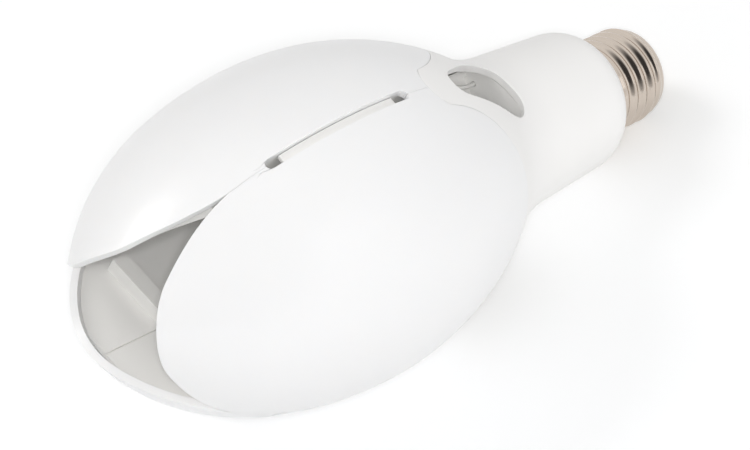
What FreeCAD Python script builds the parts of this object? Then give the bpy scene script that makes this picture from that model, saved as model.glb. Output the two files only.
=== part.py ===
import FreeCAD, Part
import math
import os
import re

import Sketcher
from FreeCAD import Placement, Rotation, Vector

# High power LED bulb with a screw cap: three egg-shaped petals stand round an open air chimney.
# Each petal is a pod: a milky diffuser over a tray that carries a heat plate and a board of LEDs.
# A white neck with three vents holds the petals, and a driver pot inside it holds the electronics.
# Frame: +Z runs along the axis from the cap to the tip, the origin is the face of the centre contact,
# and the first petal is centred on +X. All lengths are millimetres, all angles degrees.

SIZES = {
    # Screw cap
    "contact_radius": 4.7,
    "contact_height": 1.3,
    "stem_radius": 1.2,
    "stem_end": 8.6,
    "stem_clearance": 0.2,
    "insulator_face_radius": 6.2,
    "insulator_step": 6.4,
    "insulator_end": 8.4,
    "insulator_clearance": 0.2,
    "shell_start": 6.2,
    "shell_mouth_radius": 10.6,
    "shell_shoulder": 8.7,
    "shell_bore_radius": 11.65,
    "shell_root_radius": 12.15,
    "thread_radius": 13.15,
    "thread_width": 2.5,
    "thread_pitch": 3.629,
    "thread_start": 8.9,
    "thread_length": 12.6,
    "cap_clearance": 0.2,
    # Neck housing
    "spigot_clearance": 0.25,
    "spigot_wall": 2.0,
    "spigot_start": 10.5,
    "shoulder_height": 25.4,
    "shoulder_round": 10.0,
    "collar_radius": 19.28,
    "collar_draft": 4.0,
    "neck_fillet": 47.5,
    "neck_wall": 2.0,
    "tongue_drop": 22.7,
    "tongue_round": 4.5,
    "petal_clearance": 0.3,
    "vent_length": 30.3,
    "vent_corner_radius": 5.0,
    "vent_corner_offset": 5.0,
    "vent_end_radius": 4.6,
    # Petal form
    "belly_radius": 44.2,
    "belly_rise": 64.4,
    "neck_side_radius": 97.0,
    "tip_side_radius": 125.0,
    "nose_angle": 13.0,
    "nose_radius": 78.0,
    "tip_rise": 70.2,
    "tip_radius": 24.5,
    "tip_flank_angle": 53.5,
    "arch_drop": 49.0,
    "arch_side_gap": 5.28,
    "arch_flank_angle": 66.0,
    "seam_angle": 0.4,
    "cut_margin": 4.0,
    "diffuser_wall": 1.8,
    "slot_width": 2.9,
    "slot_length": 49.0,
    "slot_rise": 10.5,
    # Petal tray
    "tray_clearance": 0.25,
    "tray_side_angle": 5.0,
    "pod_depth": 26.7,
    "tray_floor": 2.0,
    "tray_end_gap": 6.0,
    "cavity_half_width": 22.5,
    "cavity_start_gap": 6.0,
    "cavity_end_gap": 6.2,
    "plate_shell_gap": 2.0,
    "rib_height": 4.0,
    "rib_thickness": 5.0,
    "rib_end_gap": 0.3,
    "rib_drop": 19.2,
    "parting_width": 0.5,
    "parting_depth": 0.5,
    "root_half_width": 6.0,
    "head_gap": 0.6,
    "wire_notch_half_width": 9.0,
    # Lighting boards
    "plate_thickness": 2.0,
    "plate_clearance": 0.5,
    "board_thickness": 1.2,
    "board_margin": 2.5,
    "led_width": 2.8,
    "led_length": 3.5,
    "led_height": 0.8,
    "led_column_pitch": 9.0,
    "led_row_pitch": 6.4,
    "screw_radius": 1.5,
    "screw_clearance": 0.2,
    "screw_bite": 1.5,
    "screw_head_radius": 2.7,
    "screw_head_height": 1.7,
    "screw_offset": 9.0,
    "screw_spacing": 62.0,
    # Driver
    "liner_clearance": 0.3,
    "liner_wall": 1.6,
    "liner_start": 31.0,
    "liner_end_gap": 0.2,
    "liner_floor": 2.0,
    "lug_depth": 5.0,
    "lug_half_width": 5.0,
    "lug_height": 10.0,
    "lug_screw_height": 5.5,
    "lug_screw_bite": 4.0,
    "driver_board_half_width": 14.8,
    "driver_board_thickness": 1.6,
    "driver_board_start": 34.0,
    "stack_spare": 4.0,
    "driver_board_gap": 1.4,
    "part_gap": 0.2,
    "part_spacing": 3.0,
    "part_side": 2.0,
    "filter_can_radius": 5.0,
    "filter_can_length": 16.0,
    "output_can_radius": 4.0,
    "output_can_length": 12.0,
    "transformer_width": 11.0,
    "transformer_depth": 8.7,
    "transformer_length": 12.0,
    "choke_radius": 4.2,
    "choke_length": 6.0,
    "rectifier_width": 7.0,
    "rectifier_depth": 2.6,
    "rectifier_length": 6.5,
    "film_can_width": 11.0,
    "film_can_depth": 5.0,
    "film_can_length": 9.0,
    "switch_width": 9.0,
    "switch_depth": 4.4,
    "switch_length": 10.0,
    "fuse_radius": 1.6,
    "fuse_length": 9.0,
    "mains_wire_radius": 0.7,
    "led_wire_radius": 0.6,
    "led_wire_spread": 7.4,
    "led_wire_lap": 5.0,
}

# Places that follow from the sizes: the driver sets the length of the neck, the petals stand above it.
PLACES = {
    "driver_board_end": "driver_board_start + filter_can_length + output_can_length + stack_spare",
    "liner_end": "driver_board_end + driver_board_gap + liner_floor",
    "vent_start": "liner_end + liner_end_gap",
    "vent_end": "vent_start + vent_length",
    "belly_height": "vent_start + belly_rise",
    "petal_tip": "belly_height + tip_rise",
    "slot_centre": "belly_height + slot_rise",
    "arch_start": "belly_height - arch_drop",
    "arch_radius": "belly_radius * sin(60) - arch_side_gap",
    "tongue_end": "belly_height - tongue_drop",
    "flare_base_side": "collar_radius + neck_fillet * cos(collar_draft)",
    "flare_base_height": "shoulder_height + shoulder_round - (shoulder_round + neck_fillet) * sin(collar_draft)",
    "flare_off_side": "flare_base_side - belly_radius + neck_side_radius",
    "flare_off_height": "flare_base_height - belly_height",
    "flare_off_along": "flare_off_side * sin(collar_draft) + flare_off_height * cos(collar_draft)",
    "flare_travel": "-flare_off_along - sqrt(flare_off_along * flare_off_along - flare_off_side * flare_off_side"
                    " - flare_off_height * flare_off_height"
                    " + (neck_side_radius + neck_fillet) * (neck_side_radius + neck_fillet))",
    "flare_side": "flare_base_side + flare_travel * sin(collar_draft)",
    "flare_height": "flare_base_height + flare_travel * cos(collar_draft)",
    "head_low": "liner_end + lug_screw_height - screw_head_radius",
    "head_room": "flare_side - sqrt((neck_fillet + neck_wall) * (neck_fillet + neck_wall)"
                 " - (head_low - flare_height) * (head_low - flare_height))",
    "root_face": "head_room - head_gap - screw_head_height - tray_floor",
    "tray_face": "belly_radius - pod_depth",
    "tray_end": "petal_tip - tray_end_gap",
    "cavity_start": "arch_start + cavity_start_gap",
    "nose_side": "belly_radius - tip_side_radius + (tip_side_radius - nose_radius) * cos(nose_angle)",
    "nose_height": "belly_height + (tip_side_radius - nose_radius) * sin(nose_angle)",
    "plate_reach": "sqrt((tray_face + tray_floor + plate_thickness) * (tray_face + tray_floor + plate_thickness)"
                   " + cavity_half_width * cavity_half_width / 2)",
    "shell_room": "nose_height + sqrt((nose_radius - diffuser_wall - plate_shell_gap)"
                  " * (nose_radius - diffuser_wall - plate_shell_gap)"
                  " - (plate_reach - nose_side) * (plate_reach - nose_side)) + cavity_half_width * (1 - cos(45))",
    "cavity_end": "min(tray_end - cavity_end_gap; shell_room)",
    "rib_end": "tray_end - rib_drop",
    "rib_half_width": "(tray_face - rib_height) * tan(60 - tray_side_angle / 2) - rib_end_gap",
}

PETALS = ("a", "b", "c")
PETAL_STEP = 360.0 / len(PETALS)
LED_COLUMNS = 4
LED_ROWS = 13
OUTLINE_REACH = "belly_radius + cut_margin"
FAR_EDGE = "petal_tip + belly_radius"

doc = FreeCAD.newDocument("led_bulb")
sheet = doc.addObject("Spreadsheet::Sheet", "Sizes")
for row, (alias, value) in enumerate(SIZES.items(), start=1):
    sheet.set(f"A{row}", str(value))
    sheet.setAlias(f"A{row}", alias)
doc.recompute()

parts = []


# Sizes and bindings

NAME = re.compile(r"[a-z]+_[a-z_]+")


def spelt(expression):
    """The same expression over the sheet's own names, with each place written out."""
    def place(name):
        word = name.group(0)
        return f"({spelt(PLACES[word])})" if word in PLACES else word
    return NAME.sub(place, expression)


def size(expression):
    """Value of an expression over the names of sizes and places."""
    return float(sheet.evalExpression(spelt(expression)))


def bound(expression):
    """The same expression as another object of the document reads it."""
    return NAME.sub(lambda name: "Sizes." + name.group(0), spelt(expression))


def bind(item, prop, expression):
    """Tie a property to the sheet."""
    item.setExpression(prop, bound(expression))


def keep(item, label, turn=0.0):
    """Register a finished piece under its name, turned about the bulb's axis."""
    item.Label = label
    item.Placement = Placement(Vector(), Rotation(Vector(0, 0, 1), turn)) * item.Placement
    parts.append(item)
    return item


# Sketches

def new_body(name):
    """An empty body."""
    return doc.addObject("PartDesign::Body", name)


def new_sketch(body, plane, lift=None, turn=0.0):
    """A sketch on one of the body's own origin planes, turned about its upright or lifted if asked."""
    sketch = body.newObject("Sketcher::SketchObject", body.Name + "_sketch")
    origin = next(item for item in body.Origin.OriginFeatures if item.Role == plane)
    sketch.AttachmentSupport = (origin, [""])
    sketch.MapMode = "FlatFace"
    sketch.AttachmentOffset = Placement(Vector(), Rotation(Vector(0, 1, 0), turn))
    if lift:
        bind(sketch, "AttachmentOffset.Base.z", lift)
    return sketch


def drive(sketch, kind, elements, expression):
    """Add one dimension, tied to the sheet."""
    value = math.radians(size(expression)) if kind == "Angle" else size(expression)
    index = sketch.addConstraint(Sketcher.Constraint(kind, *elements, value))
    bind(sketch, f"Constraints[{index}]", expression)


def hold_x(sketch, element, point, expression):
    """Fix how far a point lies from the sketch's vertical axis."""
    if abs(size(expression)) < 1e-9:
        sketch.addConstraint(Sketcher.Constraint("PointOnObject", element, point, -2))
    elif size(expression) > 0:
        drive(sketch, "DistanceX", (-1, 1, element, point), expression)
    else:
        drive(sketch, "DistanceX", (element, point, -1, 1), f"-({expression})")


def hold_y(sketch, element, point, expression):
    """Fix how far a point lies from the sketch's horizontal axis."""
    if abs(size(expression)) < 1e-9:
        sketch.addConstraint(Sketcher.Constraint("PointOnObject", element, point, -1))
    elif size(expression) > 0:
        drive(sketch, "DistanceY", (-1, 1, element, point), expression)
    else:
        drive(sketch, "DistanceY", (element, point, -1, 1), f"-({expression})")


def line(sketch, start, end):
    """A straight stretch."""
    return sketch.addGeometry(Part.LineSegment(Vector(*start, 0), Vector(*end, 0)))


def arc(sketch, centre, radius, first, last):
    """An arc drawn counter-clockwise between two angles."""
    circle = Part.Circle(Vector(*centre, 0), Vector(0, 0, 1), radius)
    return sketch.addGeometry(Part.ArcOfCircle(circle, math.radians(first), math.radians(last)))


def join(sketch, first, first_point, second, second_point, smooth=False):
    """Let two ends meet, smoothly if asked."""
    kind = "Tangent" if smooth else "Coincident"
    sketch.addConstraint(Sketcher.Constraint(kind, first, first_point, second, second_point))


def on_polar(centre, radius, angle):
    """Point at an angle on a circle."""
    return (centre[0] + radius * math.cos(math.radians(angle)),
            centre[1] + radius * math.sin(math.radians(angle)))


def polygon(sketch, corners):
    """Closed straight outline whose corners are pairs of expressions."""
    spots = [(size(x), size(y)) for x, y in corners]
    edges = [line(sketch, spot, spots[(i + 1) % len(spots)]) for i, spot in enumerate(spots)]
    for i, edge in enumerate(edges):
        join(sketch, edge, 2, edges[(i + 1) % len(edges)], 1)
        hold_x(sketch, edge, 1, corners[i][0])
        hold_y(sketch, edge, 1, corners[i][1])


def rectangle(sketch, left, right, low, high):
    """Upright rectangle between four expressions."""
    polygon(sketch, [(left, low), (right, low), (right, high), (left, high)])


def disc(sketch, x, y, radius):
    """Circle at a point, all as expressions."""
    circle = Part.Circle(Vector(size(x), size(y), 0), Vector(0, 0, 1), size(radius))
    index = sketch.addGeometry(circle)
    drive(sketch, "Radius", (index,), radius)
    hold_x(sketch, index, 3, x)
    hold_y(sketch, index, 3, y)


def stadium(sketch, half_width, low, high):
    """Upright slot outline with round ends, centred on the vertical axis."""
    radius = size(half_width)
    bottom, top = size(low) + radius, size(high) - radius
    upper = arc(sketch, (0, top), radius, 0, 180)
    left = line(sketch, (-radius, top), (-radius, bottom))
    lower = arc(sketch, (0, bottom), radius, 180, 360)
    right = line(sketch, (radius, bottom), (radius, top))
    ring = [(upper, 2, left, 1), (left, 2, lower, 1), (lower, 2, right, 1), (right, 2, upper, 1)]
    for ends in ring:
        join(sketch, *ends, smooth=True)
    hold_x(sketch, upper, 3, "0")
    hold_y(sketch, upper, 3, f"{high} - ({half_width})")
    hold_x(sketch, lower, 3, "0")
    hold_y(sketch, lower, 3, f"{low} + {half_width}")
    for end in (upper, lower):
        drive(sketch, "Radius", (end,), half_width)


# Features

def revolve(body, sketch, cut=False, angle=None):
    """Turn a sketch about the bulb's axis, a full turn unless an angle is given."""
    kind = "PartDesign::Groove" if cut else "PartDesign::Revolution"
    feature = body.newObject(kind, body.Name + "_turn")
    feature.Profile = sketch
    feature.ReferenceAxis = (sketch, ["V_Axis"])
    feature.Midplane = True
    feature.Angle = 360
    if angle:
        bind(feature, "Angle", angle)
    doc.recompute()
    return feature


def pad(body, sketch, length, back=False):
    """Thicken a sketch along its normal, or against it."""
    feature = body.newObject("PartDesign::Pad", body.Name + "_pad")
    feature.Profile = sketch
    feature.Reversed = back
    bind(feature, "Length", length)
    doc.recompute()
    return feature


def pocket(body, sketch, length=None, forward=True):
    """Cut a sketch along its normal, right through unless a length is given; the volume has to drop."""
    before = body.Shape.Volume
    feature = body.newObject("PartDesign::Pocket", body.Name + "_pocket")
    feature.Profile = sketch
    feature.Reversed = forward
    if length:
        bind(feature, "Length", length)
    else:
        feature.Type = "ThroughAll"
    doc.recompute()
    if body.Shape.Volume >= before:
        raise ValueError(f"{feature.Name} cuts nothing")
    return feature


def round_the_axis(body, feature):
    """Repeat a feature at each petal's angle."""
    pattern = body.newObject("PartDesign::PolarPattern", body.Name + "_polar")
    pattern.Originals = [feature]
    axis = next(item for item in body.Origin.OriginFeatures if item.Role == "Z_Axis")
    pattern.Axis = (axis, [""])
    pattern.Angle = 360
    pattern.Occurrences = len(PETALS)
    body.Tip = pattern
    doc.recompute()
    return pattern


# Shared outlines

def neck_outline(sketch, inset):
    """Half section of the neck's form, drawn in by a wall: shoulder, collar, flare and petal side."""
    inset = f"({inset})"
    inward = size(inset)
    draft = size("collar_draft")
    low, high = size(f"shoulder_height + {inset}"), size("tongue_end + cut_margin")
    round_radius = size("shoulder_round") - inward
    round_centre = (size("collar_radius - shoulder_round * cos(collar_draft)"),
                    size("shoulder_height + shoulder_round"))
    side_radius = size("neck_side_radius") - inward
    side_centre = (size("belly_radius - neck_side_radius"), size("belly_height"))
    flare_radius = size("neck_fillet") + inward

    # The flare's centre lies beside the collar line and touches the petal side's circle.
    tilt = math.radians(draft)
    normal = Vector(math.cos(tilt), -math.sin(tilt), 0)
    along = Vector(math.sin(tilt), math.cos(tilt), 0)
    base = Vector(*round_centre, 0) + normal * (round_radius + flare_radius)
    offset = base - Vector(*side_centre, 0)
    reach = side_radius + flare_radius
    half = offset.dot(along)
    travel = -half - math.sqrt(half * half - offset.dot(offset) + reach * reach)
    flare_centre = base + along * travel
    touch = Vector(*side_centre, 0) + (flare_centre - Vector(*side_centre, 0)) * (side_radius / reach)

    collar_low = on_polar(round_centre, round_radius, -draft)
    collar_high = flare_centre - normal * flare_radius
    meet = math.degrees(math.atan2(touch.y - side_centre[1], touch.x - side_centre[0]))
    side_end = math.degrees(math.asin((high - side_centre[1]) / side_radius))

    floor = line(sketch, (0, low), (round_centre[0], low))
    shoulder = arc(sketch, round_centre, round_radius, -90, -draft)
    collar = line(sketch, collar_low, (collar_high.x, collar_high.y))
    flare = arc(sketch, (flare_centre.x, flare_centre.y), flare_radius, 180 + meet, 180 - draft)
    side = arc(sketch, side_centre, side_radius, meet, side_end)
    end = on_polar(side_centre, side_radius, side_end)
    lid = line(sketch, end, (0, end[1]))
    axis = line(sketch, (0, end[1]), (0, low))

    join(sketch, floor, 2, shoulder, 1, smooth=True)
    join(sketch, shoulder, 2, collar, 1, smooth=True)
    join(sketch, collar, 2, flare, 2, smooth=True)
    join(sketch, flare, 1, side, 1, smooth=True)
    join(sketch, side, 2, lid, 1)
    join(sketch, lid, 2, axis, 1)
    join(sketch, axis, 2, floor, 1)
    for element in (floor, lid):
        sketch.addConstraint(Sketcher.Constraint("Horizontal", element))
    hold_x(sketch, axis, 1, "0")
    hold_x(sketch, axis, 2, "0")
    hold_y(sketch, floor, 1, f"shoulder_height + {inset}")
    hold_y(sketch, lid, 1, "tongue_end + cut_margin")
    drive(sketch, "Radius", (shoulder,), f"shoulder_round - {inset}")
    hold_x(sketch, shoulder, 3, "collar_radius - shoulder_round * cos(collar_draft)")
    drive(sketch, "Angle", (collar,), "90 - collar_draft")
    drive(sketch, "Radius", (flare,), f"neck_fillet + {inset}")
    drive(sketch, "Radius", (side,), f"neck_side_radius - {inset}")
    hold_x(sketch, side, 3, "belly_radius - neck_side_radius")
    hold_y(sketch, side, 3, "belly_height")


def belly_outline(sketch, inset, low, high):
    """Half section of the petals' form, drawn in by a wall, between two heights."""
    inset = f"({inset})"
    inward = size(inset)
    middle = size("belly_height")
    neck_centre = (size("belly_radius - neck_side_radius"), middle)
    tip_centre = (size("belly_radius - tip_side_radius"), middle)
    neck_radius = size("neck_side_radius") - inward
    tip_radius = size("tip_side_radius") - inward
    nose_radius = size("nose_radius") - inward
    turn = size("nose_angle")
    nose_centre = on_polar(tip_centre, size("tip_side_radius - nose_radius"), turn)
    first = math.degrees(math.asin((size(low) - middle) / neck_radius))
    last = math.degrees(math.asin((size(high) - nose_centre[1]) / nose_radius))

    neck_side = arc(sketch, neck_centre, neck_radius, first, 0)
    tip_side = arc(sketch, tip_centre, tip_radius, 0, turn)
    nose = arc(sketch, nose_centre, nose_radius, turn, last)
    start = on_polar(neck_centre, neck_radius, first)
    end = on_polar(nose_centre, nose_radius, last)
    lid = line(sketch, end, (0, end[1]))
    axis = line(sketch, (0, end[1]), (0, start[1]))
    floor = line(sketch, (0, start[1]), start)

    join(sketch, floor, 2, neck_side, 1)
    join(sketch, neck_side, 2, tip_side, 1)
    join(sketch, tip_side, 2, nose, 1, smooth=True)
    join(sketch, nose, 2, lid, 1)
    join(sketch, lid, 2, axis, 1)
    join(sketch, axis, 2, floor, 1)
    for element in (floor, lid):
        sketch.addConstraint(Sketcher.Constraint("Horizontal", element))
    hold_x(sketch, axis, 1, "0")
    hold_x(sketch, axis, 2, "0")
    hold_y(sketch, floor, 1, low)
    hold_y(sketch, lid, 1, high)
    hold_x(sketch, neck_side, 3, "belly_radius - neck_side_radius")
    hold_y(sketch, neck_side, 3, "belly_height")
    hold_y(sketch, neck_side, 2, "belly_height")
    drive(sketch, "Radius", (neck_side,), f"neck_side_radius - {inset}")
    drive(sketch, "Radius", (tip_side,), f"tip_side_radius - ({inset})")
    hold_y(sketch, tip_side, 3, "belly_height")
    hold_y(sketch, tip_side, 2, f"belly_height + (tip_side_radius - ({inset})) * sin(nose_angle)")
    drive(sketch, "Radius", (nose,), f"nose_radius - ({inset})")


def petal_outline(sketch, grow):
    """A petal seen from straight outside: an arch round the neck's tongues, a rounder tip, flanks to both."""
    arch = crown(sketch, f"arch_radius + {grow}", "arch_start + arch_radius", "arch_flank_angle", up=False)
    arch = tongue_corners(sketch, arch, grow)
    tip = crown(sketch, f"tip_radius + {grow}", "petal_tip - tip_radius", "tip_flank_angle", up=True)
    for flank, side, outer in tip:
        hold_x(sketch, flank, 1, OUTLINE_REACH if side > 0 else f"-({OUTLINE_REACH})")
    for (low, _, low_spot), (high, _, high_spot) in zip(arch, tip):
        edge = line(sketch, low_spot, high_spot)
        join(sketch, low, 2, edge, 1)
        join(sketch, edge, 2, high, 1)


def crown(sketch, radius, centre, lean, up):
    """A round end and the two flanks that leave it, left one first, each with its side and outer end."""
    middle, bend, angle = size(centre), size(radius), size(lean)
    facing = 90 if up else 270
    bow = arc(sketch, (0, middle), bend, facing - angle, facing + angle)
    drive(sketch, "Radius", (bow,), radius)
    hold_x(sketch, bow, 3, "0")
    hold_y(sketch, bow, 3, centre)
    reach = size(OUTLINE_REACH if up else "arch_radius")
    slope = math.tan(math.radians(angle))
    flanks = []
    for side in (-1, 1):
        inner = (side * bend * math.sin(math.radians(angle)),
                 middle + bend * math.cos(math.radians(angle)) * (1 if up else -1))
        rise = (reach - abs(inner[0])) * slope
        outer = (side * reach, inner[1] - rise if up else inner[1] + rise)
        flank = line(sketch, outer, inner) if up else line(sketch, inner, outer)
        inner_end = 2 if up else 1
        bow_end = 2 if (side < 0) == up else 1
        join(sketch, bow, bow_end, flank, inner_end, smooth=True)
        drive(sketch, "Angle", (flank,), lean if (side > 0) != up else f"180 - {lean}")
        flanks.append((flank, side, outer))
    return flanks


def tongue_corners(sketch, flanks, grow):
    """Round corner on each flank and the level edge that runs from it over the neck's tongue."""
    level = f"tongue_end + petal_clearance - {grow}"
    bend = f"tongue_round + petal_clearance - {grow}"
    height, radius, lean = size(level), size(bend), size("arch_flank_angle")
    ends = []
    for flank, side, spot in flanks:
        along = (height - spot[1]) / math.tan(math.radians(lean))
        corner_side = abs(spot[0]) + along
        centre = (side * (corner_side + radius * math.tan(math.radians(lean / 2))), height - radius)
        first, last = (90, 90 + lean) if side > 0 else (90 - lean, 90)
        corner = arc(sketch, centre, radius, first, last)
        outer = (side * size(OUTLINE_REACH), height)
        edge = line(sketch, (centre[0], height), outer)
        flank_end, level_end = (2, 1) if side > 0 else (1, 2)
        join(sketch, flank, 2, corner, flank_end, smooth=True)
        join(sketch, corner, level_end, edge, 1, smooth=True)
        drive(sketch, "Radius", (corner,), bend)
        sketch.addConstraint(Sketcher.Constraint("Horizontal", edge))
        hold_y(sketch, edge, 2, level)
        hold_x(sketch, edge, 2, OUTLINE_REACH if side > 0 else f"-({OUTLINE_REACH})")
        ends.append((edge, side, outer))
    return ends


# Screw cap

def screw_shell():
    """Plated sheet shell with a rolled right-hand thread and a drawn-in mouth."""
    body = new_body("screw_shell")
    wall = "(shell_root_radius - shell_bore_radius)"
    top = "shoulder_height - cap_clearance"
    sketch = new_sketch(body, "XZ_Plane")
    polygon(sketch, [("shell_mouth_radius", "shell_start"), ("shell_root_radius", "shell_shoulder"),
                     ("shell_root_radius", top), ("shell_bore_radius", top),
                     ("shell_bore_radius", "shell_shoulder"),
                     (f"shell_mouth_radius - {wall}", "shell_start")])
    revolve(body, sketch)
    ridge = new_sketch(body, "XZ_Plane")
    foot = size(f"shell_root_radius - {wall} / 2")
    low, high = size("thread_start"), size("thread_start + thread_width")
    crest = (size("thread_radius"), (low + high) / 2)
    back = line(ridge, (foot, high), (foot, low))
    bow = ridge.addGeometry(Part.Arc(Vector(foot, low, 0), Vector(*crest, 0), Vector(foot, high, 0)))
    bow_low, bow_high = (1, 2) if ridge.getPoint(bow, 1).y < ridge.getPoint(bow, 2).y else (2, 1)
    join(ridge, back, 2, bow, bow_low)
    join(ridge, back, 1, bow, bow_high)
    hold_x(ridge, back, 1, f"shell_root_radius - {wall} / 2")
    hold_x(ridge, back, 2, f"shell_root_radius - {wall} / 2")
    hold_y(ridge, back, 2, "thread_start")
    hold_y(ridge, back, 1, "thread_start + thread_width")
    rise = f"(thread_radius - shell_root_radius + {wall} / 2)"
    bend = f"(thread_width * thread_width / 4 + {rise} * {rise}) / (2 * {rise})"
    hold_x(ridge, bow, 3, f"thread_radius - {bend}")
    doc.recompute()
    thread = body.newObject("PartDesign::AdditiveHelix", "thread")
    thread.Profile = ridge
    thread.ReferenceAxis = (ridge, ["V_Axis"])
    thread.Mode = "pitch-height-angle"
    bind(thread, "Pitch", "thread_pitch")
    bind(thread, "Height", "thread_length")
    doc.recompute()
    keep(body, "screw_shell")


def cap_insulator():
    """Moulded ring that keeps the centre contact off the shell."""
    body = new_body("cap_insulator")
    hole = "stem_radius + stem_clearance"
    rim = "shell_mouth_radius - (shell_root_radius - shell_bore_radius) - insulator_clearance"
    sketch = new_sketch(body, "XZ_Plane")
    polygon(sketch, [(hole, "contact_height"), ("insulator_face_radius", "contact_height"),
                     (rim, "insulator_step"), (rim, "insulator_end"), (hole, "insulator_end")])
    revolve(body, sketch)
    keep(body, "cap_insulator")


def centre_contact():
    """Brass button and the stem that the live lead is soldered to."""
    body = new_body("centre_contact")
    sketch = new_sketch(body, "XZ_Plane")
    polygon(sketch, [("0", "0"), ("contact_radius", "0"), ("contact_radius", "contact_height"),
                     ("stem_radius", "contact_height"), ("stem_radius", "stem_end"), ("0", "stem_end")])
    revolve(body, sketch)
    keep(body, "centre_contact")


# Neck

def vent_outline(sketch):
    """Three-cornered vent with round corners, broad towards the cap."""
    apex = (0, size("vent_end - vent_end_radius"))
    corner = (size("vent_corner_offset"), size("vent_start + vent_corner_radius"))
    tight, wide = size("vent_end_radius"), size("vent_corner_radius")
    run = math.hypot(corner[0], apex[1] - corner[1])
    lean = math.degrees(math.atan2(corner[0], apex[1] - corner[1]))
    lean += math.degrees(math.asin((wide - tight) / run))
    top = arc(sketch, apex, tight, lean, 180 - lean)
    right = arc(sketch, corner, wide, -90, lean)
    left = arc(sketch, (-corner[0], corner[1]), wide, 180 - lean, 270)
    rising = line(sketch, on_polar(corner, wide, lean), on_polar(apex, tight, lean))
    falling = line(sketch, on_polar(apex, tight, 180 - lean),
                   on_polar((-corner[0], corner[1]), wide, 180 - lean))
    base = line(sketch, (-corner[0], corner[1] - wide), (corner[0], corner[1] - wide))
    ring = [(right, 2, rising, 1), (rising, 2, top, 1), (top, 2, falling, 1),
            (falling, 2, left, 1), (left, 2, base, 1), (base, 2, right, 1)]
    for ends in ring:
        join(sketch, *ends, smooth=True)
    hold_x(sketch, top, 3, "0")
    hold_y(sketch, top, 3, "vent_end - vent_end_radius")
    hold_x(sketch, right, 3, "vent_corner_offset")
    hold_x(sketch, left, 3, "-vent_corner_offset")
    hold_y(sketch, right, 3, "vent_start + vent_corner_radius")
    drive(sketch, "Radius", (top,), "vent_end_radius")
    drive(sketch, "Radius", (right,), "vent_corner_radius")
    drive(sketch, "Radius", (left,), "vent_corner_radius")


def neck_housing():
    """White moulding: shoulder, collar, flare, a tongue up each seam and a vent in each tongue."""
    body = new_body("neck_housing")
    form = new_sketch(body, "XZ_Plane")
    neck_outline(form, "0")
    revolve(body, form)
    hollow = new_sketch(body, "XZ_Plane")
    neck_outline(hollow, "neck_wall")
    revolve(body, hollow, cut=True)
    spigot = "shell_bore_radius - spigot_clearance"
    sleeve = new_sketch(body, "XY_Plane", "spigot_start")
    disc(sleeve, "0", "0", spigot)
    pad(body, sleeve, "shoulder_height + neck_wall - spigot_start")
    bore = new_sketch(body, "XY_Plane", "spigot_start")
    disc(bore, "0", "0", f"{spigot} - spigot_wall")
    pocket(body, bore)
    opening = new_sketch(body, "YZ_Plane")
    petal_outline(opening, "petal_clearance")
    round_the_axis(body, pocket(body, opening))
    vent = new_sketch(body, "YZ_Plane")
    vent_outline(vent)
    round_the_axis(body, pocket(body, vent, forward=False))
    keep(body, "neck_housing")


# Petals

def petal_envelope(body, inset, low, high, angle):
    """The sector of the petals' form that one petal takes."""
    form = new_sketch(body, "XZ_Plane")
    belly_outline(form, inset, low, high)
    revolve(body, form, angle=angle)


def trim_to_petal(body):
    """Cut away what lies outside the petal's outline."""
    frame = new_sketch(body, "YZ_Plane")
    rectangle(frame, "-2 * belly_radius", "2 * belly_radius", "shoulder_height", FAR_EDGE)
    petal_outline(frame, "0")
    pocket(body, frame)


def diffuser(name, turn):
    """Milky shell of one petal, recessed along both seams where the air slots are."""
    body = new_body("diffuser_" + name)
    low, high = "arch_start - cut_margin", "petal_tip + tray_floor"
    petal_envelope(body, "0", low, high, "120 - seam_angle")
    hollow = new_sketch(body, "XZ_Plane")
    belly_outline(hollow, "diffuser_wall", low, high)
    revolve(body, hollow, cut=True)
    trim_to_petal(body)
    for side in (-1, 1):
        slot = new_sketch(body, "YZ_Plane", turn=side * PETAL_STEP / 2)
        stadium(slot, "slot_width / 2", "slot_centre - slot_length / 2", "slot_centre + slot_length / 2")
        pocket(body, slot)
    keep(body, "diffuser_" + name, turn)


PLATE_MIDDLE = "(cavity_start + cavity_end) / 2"
SCREW_SPOTS = [(y, f"{PLATE_MIDDLE} {z} screw_spacing / 2")
               for y in ("-screw_offset", "screw_offset") for z in ("-", "+")]


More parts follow.
